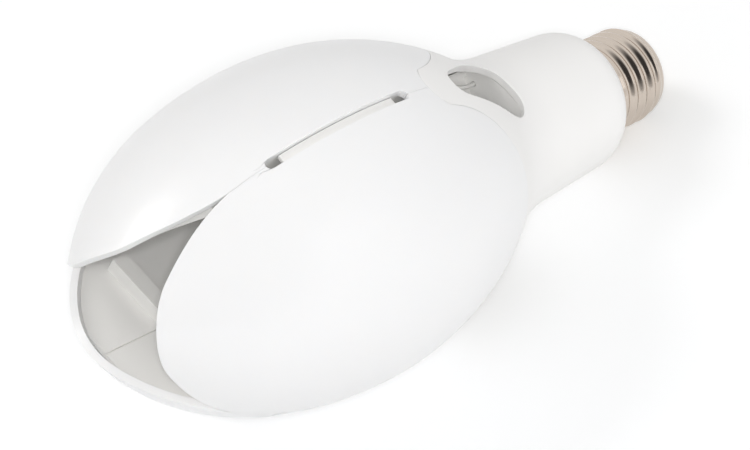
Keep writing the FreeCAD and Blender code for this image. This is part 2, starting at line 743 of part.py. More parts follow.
def tray(name, turn):
    """White tray that closes one petal towards the chimney, with a rib across it and a root tab."""
    body = new_body("tray_" + name)
    floor = "tray_face + tray_floor"
    petal_envelope(body, "diffuser_wall + tray_clearance", "arch_start - cut_margin", "tray_end",
                   "120 - tray_side_angle")
    inner = new_sketch(body, "XY_Plane")
    rectangle(inner, "-cut_margin", "tray_face", "-belly_radius", "belly_radius")
    pocket(body, inner)
    trim_to_petal(body)
    cavity = new_sketch(body, "YZ_Plane", "belly_radius")
    stadium(cavity, "cavity_half_width", "cavity_start", "cavity_end")
    pocket(body, cavity, f"belly_radius - ({floor})", forward=False)
    notch = new_sketch(body, "YZ_Plane", "belly_radius")
    rectangle(notch, "-wire_notch_half_width", "wire_notch_half_width",
              "arch_start - cut_margin", "cavity_start + cut_margin")
    pocket(body, notch, f"belly_radius - ({floor})", forward=False)
    root = new_sketch(body, "XZ_Plane", "-root_half_width")
    polygon(root, [("root_face", "liner_end"), ("root_face + tray_floor", "liner_end"),
                   ("root_face + tray_floor", "liner_end + lug_height"), (floor, "arch_start + tray_floor"),
                   (floor, "cavity_start"), ("tray_face", "cavity_start"),
                   ("tray_face", "arch_start + tray_floor"), ("root_face", "liner_end + lug_height")])
    pad(body, root, "2 * root_half_width")
    hole = new_sketch(body, "YZ_Plane", "root_face")
    disc(hole, "0", "liner_end + lug_screw_height", "screw_radius + screw_clearance")
    pocket(body, hole, "tray_floor")
    rib = new_sketch(body, "YZ_Plane", "tray_face")
    rectangle(rib, "-rib_half_width", "rib_half_width", "rib_end - rib_thickness", "rib_end")
    pad(body, rib, "rib_height", back=True)
    parting = new_sketch(body, "YZ_Plane", "tray_face")
    rectangle(parting, "-parting_width / 2", "parting_width / 2", "rib_end", "tray_end")
    pocket(body, parting, "parting_depth")
    screws = new_sketch(body, "YZ_Plane", floor)
    for y, z in SCREW_SPOTS:
        disc(screws, y, z, "screw_radius + screw_clearance")
    pocket(body, screws, "screw_bite", forward=False)
    keep(body, "tray_" + name, turn)


def lighting_plate(label, turn, lift, thickness, margin):
    """Flat plate with round ends and screw holes, lying in the tray."""
    body = new_body(label)
    sketch = new_sketch(body, "YZ_Plane", lift)
    stadium(sketch, f"(cavity_half_width - {margin})", f"cavity_start + {margin}",
            f"cavity_end - ({margin})")
    for y, z in SCREW_SPOTS:
        disc(sketch, y, z, "screw_radius + screw_clearance")
    pad(body, sketch, thickness)
    keep(body, label, turn)


PLATE_BASE = "tray_face + tray_floor"
BOARD_BASE = "tray_face + tray_floor + plate_thickness"
BOARD_TOP = "tray_face + tray_floor + plate_thickness + board_thickness"


def group(label, solids, turn=0.0):
    """Several like solids under one name."""
    item = doc.addObject("Part::Feature", label)
    item.Shape = Part.makeCompound(solids)
    return keep(item, label, turn)


def led_chips(name, turn):
    """Rows of small LED packages on one board."""
    width, length, height = size("led_width"), size("led_length"), size("led_height")
    solids = []
    for row in range(LED_ROWS):
        z = size(PLATE_MIDDLE) + (row - (LED_ROWS - 1) / 2) * size("led_row_pitch")
        for column in range(LED_COLUMNS):
            y = (column - (LED_COLUMNS - 1) / 2) * size("led_column_pitch")
            corner = Vector(size(BOARD_TOP), y - width / 2, z - length / 2)
            solids.append(Part.makeBox(height, width, length, corner))
    group("led_chips_" + name, solids, turn)


def pan_screw(seat, y, z, length):
    """Screw that points inwards along X, with its head on a face at the given distance."""
    head = Part.makeCylinder(size("screw_head_radius"), size("screw_head_height"),
                             Vector(seat, y, z), Vector(1, 0, 0))
    shank = Part.makeCylinder(size("screw_radius"), length, Vector(seat - length, y, z), Vector(1, 0, 0))
    return head.fuse(shank).removeSplitter()


def round_copies(solids):
    """The same solids at each petal."""
    copies = []
    for index in range(len(PETALS)):
        for solid in solids:
            copy = solid.copy()
            copy.rotate(Vector(), Vector(0, 0, 1), index * PETAL_STEP)
            copies.append(copy)
    return copies


def board_screws():
    """Screws that clamp each LED board and heat plate to its tray."""
    length = size("board_thickness + plate_thickness + screw_bite - screw_clearance")
    solids = [pan_screw(size(BOARD_TOP), size(y), size(z), length) for y, z in SCREW_SPOTS]
    group("board_screws", round_copies(solids))


def tray_screws():
    """Screws that hold the root of each tray to the driver pot."""
    length = size("tray_floor + lug_screw_bite - screw_clearance")
    solids = [pan_screw(size("root_face + tray_floor"), 0.0, size("liner_end + lug_screw_height"), length)]
    group("tray_screws", round_copies(solids))


def tube(points, radius):
    """Round wire along straight runs joined by tangent arcs as large as the runs allow."""
    share = 0.45
    edges = []
    start = points[0]
    for before, corner, after in zip(points, points[1:], points[2:]):
        back, ahead = before - corner, after - corner
        cut = share * min(back.Length, ahead.Length)
        first = corner + back.normalize() * cut
        last = corner + ahead.normalize() * cut
        half = (first + last) * 0.5 - corner
        bend = cut * math.tan(back.getAngle(ahead) / 2)
        middle = corner + half.normalize() * (math.hypot(cut, bend) - bend)
        edges.append(Part.LineSegment(start, first).toShape())
        edges.append(Part.Arc(first, middle, last).toShape())
        start = last
    edges.append(Part.LineSegment(start, points[-1]).toShape())
    section = Part.Wire(Part.makeCircle(radius, points[0], points[1] - points[0]))
    return Part.Wire(edges).makePipeShell([section], True, False)


def led_leads(name, turn):
    """Pair of wires from the driver to one LED board."""
    radius = size("led_wire_radius")
    inner = size("root_face - lug_depth / 2")
    outer = size(f"{BOARD_TOP} + led_wire_radius + part_gap")
    solids = []
    for side in (-1, 1):
        y = side * size("led_wire_spread")
        solids.append(tube([Vector(inner, y, size("driver_board_end + part_gap")),
                            Vector(inner, y, size("liner_end + lug_height / 2")),
                            Vector(outer, y, size("arch_start + plate_thickness")),
                            Vector(outer, y, size("cavity_start + board_margin + led_wire_lap"))], radius))
    group("led_leads_" + name, solids, turn)


# Driver

def neck_core(name, inset, top):
    """Filled form of the neck's inside, drawn in by a wall and cut level at the top."""
    body = new_body(name)
    form = new_sketch(body, "XZ_Plane")
    neck_outline(form, inset)
    revolve(body, form)
    cut = new_sketch(body, "XY_Plane", top)
    disc(cut, "0", "0", OUTLINE_REACH)
    pocket(body, cut)
    return body


def driver_pot():
    """Pot that lines the neck round the driver, with a floor towards the petals and three lugs."""
    outer = neck_core("pot_form", "neck_wall + liner_clearance", "liner_end")
    mouth = new_sketch(outer, "XY_Plane", "liner_start")
    disc(mouth, "0", "0", OUTLINE_REACH)
    pocket(outer, mouth, forward=False)
    lug = new_sketch(outer, "XY_Plane", "liner_end")
    rectangle(lug, "root_face - lug_depth", "root_face", "-lug_half_width", "lug_half_width")
    round_the_axis(outer, pad(outer, lug, "lug_height"))
    hole = new_sketch(outer, "YZ_Plane", "root_face")
    disc(hole, "0", "liner_end + lug_screw_height", "screw_radius + screw_clearance")
    round_the_axis(outer, pocket(outer, hole, "lug_screw_bite", forward=False))
    wires = new_sketch(outer, "XY_Plane", "liner_end")
    for y in ("-led_wire_spread", "led_wire_spread"):
        disc(wires, "root_face - lug_depth / 2", y, "led_wire_radius + part_gap")
    round_the_axis(outer, pocket(outer, wires, "2 * liner_floor", forward=False))
    inner = neck_core("pot_hollow", "neck_wall + liner_clearance + liner_wall", "liner_end - liner_floor")
    pot = doc.addObject("Part::Cut", "driver_pot")
    pot.Base, pot.Tool = outer, inner
    doc.recompute()
    keep(pot, "driver_pot")


def block(label, low, dimensions):
    """Box from its lowest corner and its three lengths, all as expressions."""
    box = doc.addObject("Part::Box", label)
    for prop, expression in zip(("Length", "Width", "Height"), dimensions):
        bind(box, prop, expression)
    for axis, expression in zip("xyz", low):
        bind(box, f"Placement.Base.{axis}", expression)
    doc.recompute()
    keep(box, label)


def drum(label, base, radius, length, towards=Vector(0, 0, 1)):
    """Cylinder from the middle of its base, along Z unless told otherwise."""
    can = doc.addObject("Part::Cylinder", label)
    can.Placement = Placement(Vector(), Rotation(Vector(0, 0, 1), towards))
    bind(can, "Radius", radius)
    bind(can, "Height", length)
    for axis, expression in zip("xyz", base):
        bind(can, f"Placement.Base.{axis}", expression)
    doc.recompute()
    keep(can, label)


def driver():
    """Driver board on edge along the axis, with its parts on both faces."""
    face = "driver_board_thickness / 2"
    rest = "(driver_board_thickness / 2 + part_gap)"
    low, high = "driver_board_start", "driver_board_end"
    block("driver_board", ("-driver_board_half_width", f"-{face}", low),
          ("2 * driver_board_half_width", "driver_board_thickness", f"{high} - {low}"))
    column = "filter_can_radius + part_side"
    foot = f"{low} + part_spacing"
    drum("filter_capacitor", (column, f"{rest} + filter_can_radius", f"{low} + stack_spare / 4"),
         "filter_can_radius", "filter_can_length")
    drum("output_capacitor", (column, f"{rest} + output_can_radius", f"{high} - output_can_length - stack_spare / 4"),
         "output_can_radius", "output_can_length")
    block("transformer", ("-transformer_width", face, foot),
          ("transformer_width", "transformer_depth", "transformer_length"))
    drum("choke", ("-choke_radius - part_side", rest, f"{foot} + transformer_length + part_spacing + choke_radius"),
         "choke_radius", "choke_length", Vector(0, 1, 0))
    block("film_capacitor", ("-film_can_width - part_side / 2", f"-{face} - film_can_depth", foot),
          ("film_can_width", "film_can_depth", "film_can_length"))
    block("rectifier", ("part_side", f"-{face} - rectifier_depth", foot),
          ("rectifier_width", "rectifier_depth", "rectifier_length"))
    block("switch_chip", ("part_side", f"-{face} - switch_depth", f"{foot} + rectifier_length + part_spacing"),
          ("switch_width", "switch_depth", "switch_length"))
    drum("fuse", ("-film_can_width / 2", f"-{rest} - fuse_radius", f"{foot} + film_can_length + part_spacing"),
         "fuse_radius", "fuse_length")


def mains_leads():
    """Live lead up the axis from the contact, neutral lead in from the shell and up."""
    radius = size("mains_wire_radius")
    top = size("driver_board_start - part_gap")
    drum("live_lead", ("0", "0", "stem_end"), "mains_wire_radius",
         "driver_board_start - part_gap - stem_end")
    level = size("(insulator_end + spigot_start) / 2")
    reach = size("shell_bore_radius - mains_wire_radius")
    inside = size("shell_bore_radius - spigot_clearance - spigot_wall") - 2 * radius
    path = [Vector(reach, 0, level), Vector(inside, 0, level), Vector(inside, 0, top)]
    group("neutral_lead", [tube(path, radius)])


# Assembly

screw_shell()
cap_insulator()
centre_contact()
neck_housing()
driver_pot()
driver()
mains_leads()
for index, letter in enumerate(PETALS):
    angle = index * PETAL_STEP
    diffuser(letter, angle)
    tray(letter, angle)
    lighting_plate("heat_plate_" + letter, angle, PLATE_BASE, "plate_thickness", "plate_clearance")
    lighting_plate("led_board_" + letter, angle, BOARD_BASE, "board_thickness", "(plate_clearance + board_margin)")
    led_chips(letter, angle)
    led_leads(letter, angle)
board_screws()
tray_screws()

doc.recompute()
failed = [item.Name for item in doc.Objects if {"Invalid", "Error"} & set(item.State)]
broken = [item.Label for item in parts if item.Shape.isNull() or not item.Shape.isValid()]
if failed or broken:
    raise ValueError(f"failed objects {failed}, broken shapes {broken}")
os.makedirs("parts", exist_ok=True)
for item in parts:
    item.Shape.exportStep(f"parts/{item.Label}.step")
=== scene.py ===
"""Looks of a high power LED bulb: three milky petals round an air chimney, a white neck and a screw cap.

Sizes are millimetres in the bulb's own frame: +Z runs from the cap to the tip, and the first petal faces +X.
Only the studio round the bulb is given in metres.
"""
import logging
import math
from collections.abc import Callable, Mapping, Sequence
from dataclasses import dataclass, field
from enum import Enum

import bmesh
import bpy
from mathutils import Matrix, Quaternion, Vector


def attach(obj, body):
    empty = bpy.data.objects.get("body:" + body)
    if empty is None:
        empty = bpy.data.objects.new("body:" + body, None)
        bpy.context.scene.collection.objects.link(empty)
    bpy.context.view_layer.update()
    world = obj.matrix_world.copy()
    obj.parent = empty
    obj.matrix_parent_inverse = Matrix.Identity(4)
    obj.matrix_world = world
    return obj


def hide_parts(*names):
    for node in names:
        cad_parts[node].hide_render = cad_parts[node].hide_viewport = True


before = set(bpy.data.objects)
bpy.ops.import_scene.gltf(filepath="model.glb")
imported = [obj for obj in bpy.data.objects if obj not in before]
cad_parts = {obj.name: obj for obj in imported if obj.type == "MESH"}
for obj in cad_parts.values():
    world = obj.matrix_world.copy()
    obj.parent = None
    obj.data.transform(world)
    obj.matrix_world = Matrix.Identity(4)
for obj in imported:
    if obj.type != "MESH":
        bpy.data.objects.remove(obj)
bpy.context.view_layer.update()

LOG = logging.getLogger("led_bulb")
MM = 0.001
# Degrees from a petal's middle to the seam beside it.
SEAM = 60.0


class Petal(Enum):
    """The three petals, each with the angle that it faces."""
    A = 0.0
    B = 120.0
    C = 240.0

    @property
    def letter(self) -> str:
        """The letter that ends the names of this petal's pieces."""
        return self.name.lower()

    @property
    def turn(self) -> Matrix:
        """The turn about the bulb's axis that brings a piece from +X to this petal."""
        return Matrix.Rotation(math.radians(self.value), 4, "Z")


# Colours, nodes and finishes

def linear(code: str) -> tuple[float, float, float, float]:
    """Turn an sRGB hex colour into the linear colour that a socket takes.

    Args:
        code: Six hex digits after a hash.

    Returns:
        Red, green, blue and an alpha of one.
    """
    shares = [int(code[i:i + 2], 16) / 255 for i in (1, 3, 5)]
    red, green, blue = (s / 12.92 if s <= 0.04045 else ((s + 0.055) / 1.055) ** 2.4 for s in shares)
    return red, green, blue, 1.0


def add(tree: bpy.types.NodeTree, kind: str, inputs: Mapping[str | int, object] | None = None,
        **settings: object) -> bpy.types.Node:
    """Add one node with its settings, constants and links.

    Args:
        tree: The node tree that gets the node.
        kind: Blender's type name of the node.
        inputs: For each input, the socket to link it from or the constant to set.
        settings: Properties of the node itself.

    Returns:
        The new node.
    """
    node = tree.nodes.new(kind)
    for name, value in settings.items():
        setattr(node, name, value)
    for name, value in (inputs or {}).items():
        if isinstance(value, bpy.types.NodeSocket):
            tree.links.new(value, node.inputs[name])
        else:
            node.inputs[name].default_value = value
    return node


def new_tree(name: str) -> tuple[bpy.types.Material, bpy.types.NodeTree]:
    """Start a material with an empty node tree.

    Args:
        name: What the real material is.

    Returns:
        The material and its tree.
    """
    made = bpy.data.materials.new(name)
    made.use_nodes = True
    made.node_tree.nodes.clear()
    return made, made.node_tree


@dataclass(frozen=True)
class MouldedPlastic:
    """A moulded plastic: an even colour with faint clouds, and the fine grain of the mould's steel."""
    name: str
    colour: str
    shade: str
    roughness: float
    ior: float = 1.5
    cloud: float = 28.0
    grain: float = 0.6
    grain_depth: float = 0.004
    gloss_spread: float = 0.04
    scatter: float = 0.0
    scatter_depth: float = 0.6

    def material(self) -> bpy.types.Material:
        """Build the node material.

        Returns:
            The finished material.
        """
        made, tree = new_tree(self.name)
        spot = add(tree, "ShaderNodeTexCoord").outputs["Object"]
        clouds = add(tree, "ShaderNodeTexNoise", {
            "Vector": spot, "Scale": 1 / (self.cloud * MM), "Detail": 2.0})
        tone = add(tree, "ShaderNodeMix", {
            0: clouds.outputs["Fac"], 6: linear(self.colour), 7: linear(self.shade)}, data_type="RGBA")
        grain = add(tree, "ShaderNodeTexNoise", {
            "Vector": spot, "Scale": 1 / (self.grain * MM), "Detail": 3.0})
        gloss = add(tree, "ShaderNodeMapRange", {
            "Value": grain.outputs["Fac"], "To Min": self.roughness - self.gloss_spread,
            "To Max": self.roughness + self.gloss_spread})
        bump = add(tree, "ShaderNodeBump", {"Height": grain.outputs["Fac"], "Strength": 0.35,
                                            "Distance": self.grain_depth * MM})
        shader = add(tree, "ShaderNodeBsdfPrincipled", {
            "Base Color": tone.outputs[2], "Roughness": gloss.outputs["Result"], "IOR": self.ior,
            "Normal": bump.outputs["Normal"], "Subsurface Weight": self.scatter,
            "Subsurface Radius": (1.0, 0.95, 0.9), "Subsurface Scale": self.scatter_depth * MM})
        add(tree, "ShaderNodeOutputMaterial", {"Surface": shader.outputs["BSDF"]})
        return made


@dataclass(frozen=True)
class WorkedMetal:
    """A bare or plated metal: two close tones, and fine marks that run one way from how it was worked."""
    name: str
    colour: str
    shade: str
    roughness: float
    marks: tuple[float, float, float]
    mark_depth: float = 0.003

    def material(self) -> bpy.types.Material:
        """Build the node material.

        Returns:
            The finished material.
        """
        made, tree = new_tree(self.name)
        spot = add(tree, "ShaderNodeTexCoord").outputs["Object"]
        drawn = add(tree, "ShaderNodeMapping", {"Vector": spot, "Scale": [1 / (m * MM) for m in self.marks]})
        marks = add(tree, "ShaderNodeTexNoise", {
            "Vector": drawn.outputs["Vector"], "Scale": 1.0, "Detail": 3.0})
        tone = add(tree, "ShaderNodeMix", {
            0: marks.outputs["Fac"], 6: linear(self.colour), 7: linear(self.shade)}, data_type="RGBA")
        gloss = add(tree, "ShaderNodeMapRange", {
            "Value": marks.outputs["Fac"], "To Min": self.roughness - 0.05, "To Max": self.roughness + 0.06})
        bump = add(tree, "ShaderNodeBump", {"Height": marks.outputs["Fac"], "Strength": 0.3,
                                            "Distance": self.mark_depth * MM})
        shader = add(tree, "ShaderNodeBsdfPrincipled", {
            "Base Color": tone.outputs[2], "Metallic": 1.0, "Roughness": gloss.outputs["Result"],
            "Normal": bump.outputs["Normal"]})
        add(tree, "ShaderNodeOutputMaterial", {"Surface": shader.outputs["BSDF"]})
        return made


# Opal polycarbonate, moulded in a polished tool: light sinks in a little, and the gloss is soft and even.
OPAL_POLYCARBONATE = MouldedPlastic("opal_polycarbonate", "#F7F7F7", "#F5F5F6", 0.3, ior=1.58, scatter=0.3)
# Flame-safe polybutylene terephthalate, moulded in a lightly blasted tool: matt, a little warmer white.
SATIN_PBT = MouldedPlastic("satin_moulded_pbt", "#FAF9F8", "#F7F6F4", 0.42, ior=1.55, grain_depth=0.008)
# The same plastic, drawn from a plainer tool for the insides: flatter, a touch darker.
INSIDE_PBT = MouldedPlastic("inside_moulded_pbt", "#F9F8F6", "#F6F5F2", 0.5, ior=1.55, grain_depth=0.01)
# Nickel plate on rolled brass sheet: warm grey, bright, with faint rings left by the thread rollers.
NICKEL_PLATE = WorkedMetal("bright_nickel_plate", "#D2C7BC", "#C2B6AA", 0.15, (9.0, 9.0, 0.35))
# Stamped brass with a tinned face: yellow, a little dull from soldering.
STAMPED_BRASS = WorkedMetal("stamped_brass", "#D8B873", "#C39F5C", 0.3, (1.2, 1.2, 1.2), 0.01)
# Black vitrified glass, poured into the cap: deep black and glossy with tiny ripples.
POURED_GLASS = MouldedPlastic("poured_black_glass", "#141312", "#1E1C1A", 0.12, ior=1.52, cloud=3.0,
                              grain=1.5)
# Rolled aluminium sheet: pale grey with lines along the rolling direction.
ROLLED_ALUMINIUM = WorkedMetal("rolled_aluminium", "#CFD1D3", "#BFC2C5", 0.34, (0.4, 0.4, 12.0))
# White solder mask over an aluminium board: eggshell white with a fine printed grain.
SOLDER_MASK = MouldedPlastic("white_solder_mask", "#F2F2EE", "#EDEDE8", 0.35, grain=0.25, grain_depth=0.006)
# Phosphor in silicone, dotted onto each chip: waxy yellow.
PHOSPHOR = MouldedPlastic("phosphor_silicone", "#F0D24A", "#E6C038", 0.4, cloud=1.2, scatter=0.2)
# Glass-epoxy laminate: dull green and faintly mottled.
GLASS_EPOXY = MouldedPlastic("glass_epoxy_board", "#3E6B45", "#345C3B", 0.45, cloud=4.0, grain=0.7)
# Shrunk PVC sleeve over an aluminium can: dark and slightly glossy.
SHRUNK_SLEEVE = MouldedPlastic("shrunk_pvc_sleeve", "#23262B", "#1C1F24", 0.3, cloud=5.0)
# Polyester winding tape: yellow, thin and shiny.
WINDING_TAPE = MouldedPlastic("polyester_winding_tape", "#D9B53A", "#CCA62E", 0.28, cloud=3.0, grain=1.2)
# Pressed ferrite: dark grey and dry.
PRESSED_FERRITE = MouldedPlastic("pressed_ferrite", "#3A3A3C", "#313133", 0.65, cloud=2.0, grain=0.3)
# Transfer-moulded epoxy: black and matt.
MOULDED_EPOXY = MouldedPlastic("moulded_epoxy", "#1B1B1C", "#222223", 0.55, cloud=3.0, grain=0.3)
# Dipped epoxy over a film capacitor: brick red and smooth.
DIPPED_EPOXY = MouldedPlastic("dipped_red_epoxy", "#9E3B2C", "#8E3225", 0.25, cloud=4.0, grain=1.5)
# Glazed steatite tube: off-white and glossy.
GLAZED_CERAMIC = MouldedPlastic("glazed_ceramic", "#E6E0D3", "#DCD5C6", 0.2, cloud=3.0)
# Extruded PVC insulation, red for live.
RED_PVC = MouldedPlastic("red_extruded_pvc", "#B4241F", "#A51E1A", 0.35, cloud=2.0)
# Extruded PVC insulation, white for the LED pairs, so that they vanish in the white insides.
WHITE_PVC = MouldedPlastic("white_extruded_pvc", "#ECEBE8", "#E6E5E1", 0.4, cloud=2.0)
# Extruded PVC insulation, black for neutral.
BLACK_PVC = MouldedPlastic("black_extruded_pvc", "#1A1A1B", "#212122", 0.35, cloud=2.0)
# Zinc-plated steel screws: cool bright grey.
ZINC_STEEL = WorkedMetal("zinc_plated_steel", "#C4C6C9", "#B0B2B6", 0.25, (0.8, 0.8, 0.8))

Finish = MouldedPlastic | WorkedMetal
MADE: dict[str, bpy.types.Material] = {}


def finished(finish: Finish) -> bpy.types.Material:
    """Give a finish's material, built the first time that it is asked for.

    Args:
        finish: The finish wanted.

    Returns:
        Its one material.
    """
    if finish.name not in MADE:
        MADE[finish.name] = finish.material()
    return MADE[finish.name]


# Pieces and blanks

def settle_piece(name: str, bm: bmesh.types.BMesh, finish: Finish, slot: str,
                 *nodes: str) -> bpy.types.Object:
    """Turn a finished bmesh into a piece of the bulb.

    Args:
        name: The piece's name.
        bm: Its shape in metres, freed here.
        finish: What it is made of.
        slot: The record's material slot; not used.
        nodes: CAD nodes that it stands for.

    Returns:
        The piece.
    """
    for face in bm.faces:
        face.smooth = True
    mesh = bpy.data.meshes.new(name)
    bm.to_mesh(mesh)
    bm.free()
    mesh.materials.append(finished(finish))
    made = bpy.data.objects.new(name, mesh)
    bpy.context.scene.collection.objects.link(made)
    made.modifiers.new("even_shading", "WEIGHTED_NORMAL").keep_sharp = True
    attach(made, "root")
    if nodes:
        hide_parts(*nodes)
    LOG.info("%s: %d faces", name, len(mesh.polygons))
    return made


def drum_blank(rows: Sequence[float], columns: int,
               turn: float) -> tuple[bmesh.types.BMesh, bmesh.types.BMLayerItem]:
    """Spin a thin closed drum, or a sector of one, whose points are then moved onto a form.

    Args:
        rows: Heights of its rows.
        columns: Number of steps round.
        turn: Degrees round, centred on +X; 360 makes a closed ring.

    Returns:
        The bmesh and the layer that is 1 on its inner wall.
    """
    bm = bmesh.new()
    layer = bm.verts.layers.int.new("inner")
    half = math.radians(turn) / 2
    line = [bm.verts.new((math.cos(half), -math.sin(half), row)) for row in rows]
    edges = [bm.edges.new(pair) for pair in zip(line, line[1:])]
    bmesh.ops.spin(bm, geom=line + edges, cent=(0, 0, 0), axis=(0, 0, 1), dvec=(0, 0, 0), angle=2 * half,
                   steps=columns, use_merge=turn >= 360, use_normal_flip=False, use_duplicate=False)
    bmesh.ops.remove_doubles(bm, verts=bm.verts[:], dist=1e-5)
    bmesh.ops.recalc_face_normals(bm, faces=bm.faces[:])
    if sum(face.normal.dot(face.calc_center_median() * Vector((1, 1, 0))) for face in bm.faces) < 0:
        bmesh.ops.reverse_faces(bm, faces=bm.faces[:])
    return bm, layer


def give_wall(bm: bmesh.types.BMesh, layer: bmesh.types.BMLayerItem) -> None:
    """Close a drum's sheet with an inner wall and rims.

    Args:
        bm: The sheet, facing outwards.
        layer: The layer that marks the inner wall.
    """
    grown = bmesh.ops.extrude_face_region(bm, geom=bm.faces[:], use_keep_orig=True)["geom"]
    for item in grown:
        if isinstance(item, bmesh.types.BMVert):
            item[layer] = 1
    bmesh.ops.reverse_faces(bm, faces=[face for face in bm.faces if all(vert[layer] for vert in face.verts)])


def soften(bm: bmesh.types.BMesh, layer: bmesh.types.BMLayerItem, width: float, segments: int = 2) -> None:
    """Round the edges between a wall's two skins and its rims, as the mould does.

    Args:
        bm: The closed wall.
        layer: The layer that marks the inner wall.
        width: Width of the rounding.
        segments: Facets across it.
    """
    def rim(face: bmesh.types.BMFace) -> bool:
        """Tell a rim face, which joins the two skins."""
        return len({vert[layer] for vert in face.verts}) > 1
    edges = [edge for edge in bm.edges if len(edge.link_faces) == 2
             and rim(edge.link_faces[0]) != rim(edge.link_faces[1])]
    bmesh.ops.bevel(bm, geom=edges, offset=width * MM, offset_type="OFFSET", segments=segments, profile=0.5,
                    affect="EDGES", clamp_overlap=True, material=-1, loop_slide=True)


def turned(name: str, profile: Sequence[tuple[float, float]], columns: int, finish: Finish, slot: str,
           *nodes: str) -> bpy.types.Object:
    """Spin a profile of radius and height into a closed round piece.

    Args:
        name: The piece's name.
        profile: Points from axis to axis, or a loop of them, in millimetres.
        columns: Steps round.
        finish: What it is made of.
        slot: The record's material slot.
        nodes: CAD nodes that it stands for.

    Returns:
        The piece.
    """
    bm = bmesh.new()
    line = [bm.verts.new((r * MM, 0, z * MM)) for r, z in profile]
    edges = [bm.edges.new(pair) for pair in zip(line, line[1:])]
    if profile[0][0] > 0:
        edges.append(bm.edges.new((line[-1], line[0])))
    bmesh.ops.spin(bm, geom=line + edges, cent=(0, 0, 0), axis=(0, 0, 1), dvec=(0, 0, 0), angle=2 * math.pi,
                   steps=columns, use_merge=True, use_normal_flip=False, use_duplicate=False)
    bmesh.ops.remove_doubles(bm, verts=bm.verts[:], dist=1e-6)
    bmesh.ops.recalc_face_normals(bm, faces=bm.faces[:])
    return settle_piece(name, bm, finish, slot, *nodes)


def meet(gap: Callable[[float], float], low: float, high: float) -> float:
    """Find where a rising function passes nought.

    Args:
        gap: The function.
        low: Where it is below nought.
        high: Where it is above.

    Returns:
        The place between them.
    """
    for _ in range(40):
        middle = (low + high) / 2
        low, high = (middle, high) if gap(middle) < 0 else (low, middle)
    return (low + high) / 2


def eased(share: float) -> float:
    """Ease a share from nought to one, level at both ends."""
    share = min(max(share, 0.0), 1.0)
    return share * share * (3 - 2 * share)


# Forms

@dataclass(frozen=True)
class BellyForm:
    """Egg-shaped form that the petals share: a radius for each height along the axis."""
    middle: float = 134.0
    radius: float = 44.2
    neck_side: float = 97.0
    tip_side: float = 125.0
    nose_angle: float = 13.0
    nose: float = 78.0

    def radius_at(self, z: float) -> float:
        """Radius at a height.

        Args:
            z: The height.

        Returns:
            The radius.
        """
        turn = math.radians(self.nose_angle)
        nose_x = self.radius - self.tip_side + (self.tip_side - self.nose) * math.cos(turn)
        nose_z = self.middle + (self.tip_side - self.nose) * math.sin(turn)
        if z < self.middle:
            centre, bend, from_centre = self.radius - self.neck_side, self.neck_side, z - self.middle
        elif z < self.middle + self.tip_side * math.sin(turn):
            centre, bend, from_centre = self.radius - self.tip_side, self.tip_side, z - self.middle
        else:
            centre, bend, from_centre = nose_x, self.nose, z - nose_z
        return centre + math.sqrt(bend ** 2 - from_centre ** 2)

    def within(self, z: float, depth: float) -> tuple[float, float]:
        """Radius and height of the point straight under the surface.

        Args:
            z: Height on the surface.
            depth: How far under it, square to it.

        Returns:
            The pair.
        """
        step = 0.01
        slope = (self.radius_at(z + step) - self.radius_at(z - step)) / (2 * step)
        square = math.hypot(1.0, slope)
        return self.radius_at(z) - depth / square, z + depth * slope / square


@dataclass(frozen=True)
class PetalOutline:
    """A petal seen from outside: a round arch at the neck, cut by the tongues' round ends, and a tip."""
    arch_centre: float = 118.0
    arch_radius: float = 33.0
    tongue_centre: float = 102.9
    tongue_radius: float = 8.45
    tip: float = 204.2
    tip_radius: float = 22.0
    tip_turn: float = 35.5
    flank_radius: float = 54.0
    flank_turn: float = 66.0

    def arch_height(self, radius: float, angle: float, grow: float = 0.0) -> float:
        """Height of the edge towards the cap.

        Args:
            radius: Distance from the axis.
            angle: Radians from the petal's middle.
            grow: How far outside the outline.

        Returns:
            The height.
        """
        bend, tongue = self.arch_radius + grow, self.tongue_radius - grow
        y = abs(radius * math.sin(angle))
        side = abs(radius * math.sin(math.radians(SEAM) - abs(angle)))
        arch = self.arch_centre - math.sqrt(bend * bend - y * y) if y < bend else math.inf
        end = self.tongue_centre + math.sqrt(tongue * tongue - side * side) if side < tongue else math.inf
        return min(arch, end)

    def tip_height(self, y: float) -> float:
        """Height of the edge towards the tip.

        Args:
            y: Distance from the petal's middle.

        Returns:
            The height.
        """
        first, last = math.radians(self.tip_turn), math.radians(self.flank_turn)
        middle, more = self.tip - self.tip_radius, self.flank_radius - self.tip_radius
        if abs(y) < self.tip_radius * math.sin(first):
            return middle + math.sqrt(self.tip_radius ** 2 - y * y)
        side, low = abs(y) + more * math.sin(first), middle - more * math.cos(first)
        end = self.flank_radius * math.sin(last)
        if side < end:
            return low + math.sqrt(self.flank_radius ** 2 - side * side)
        return low + self.flank_radius * math.cos(last) - (side - end) * math.tan(last)


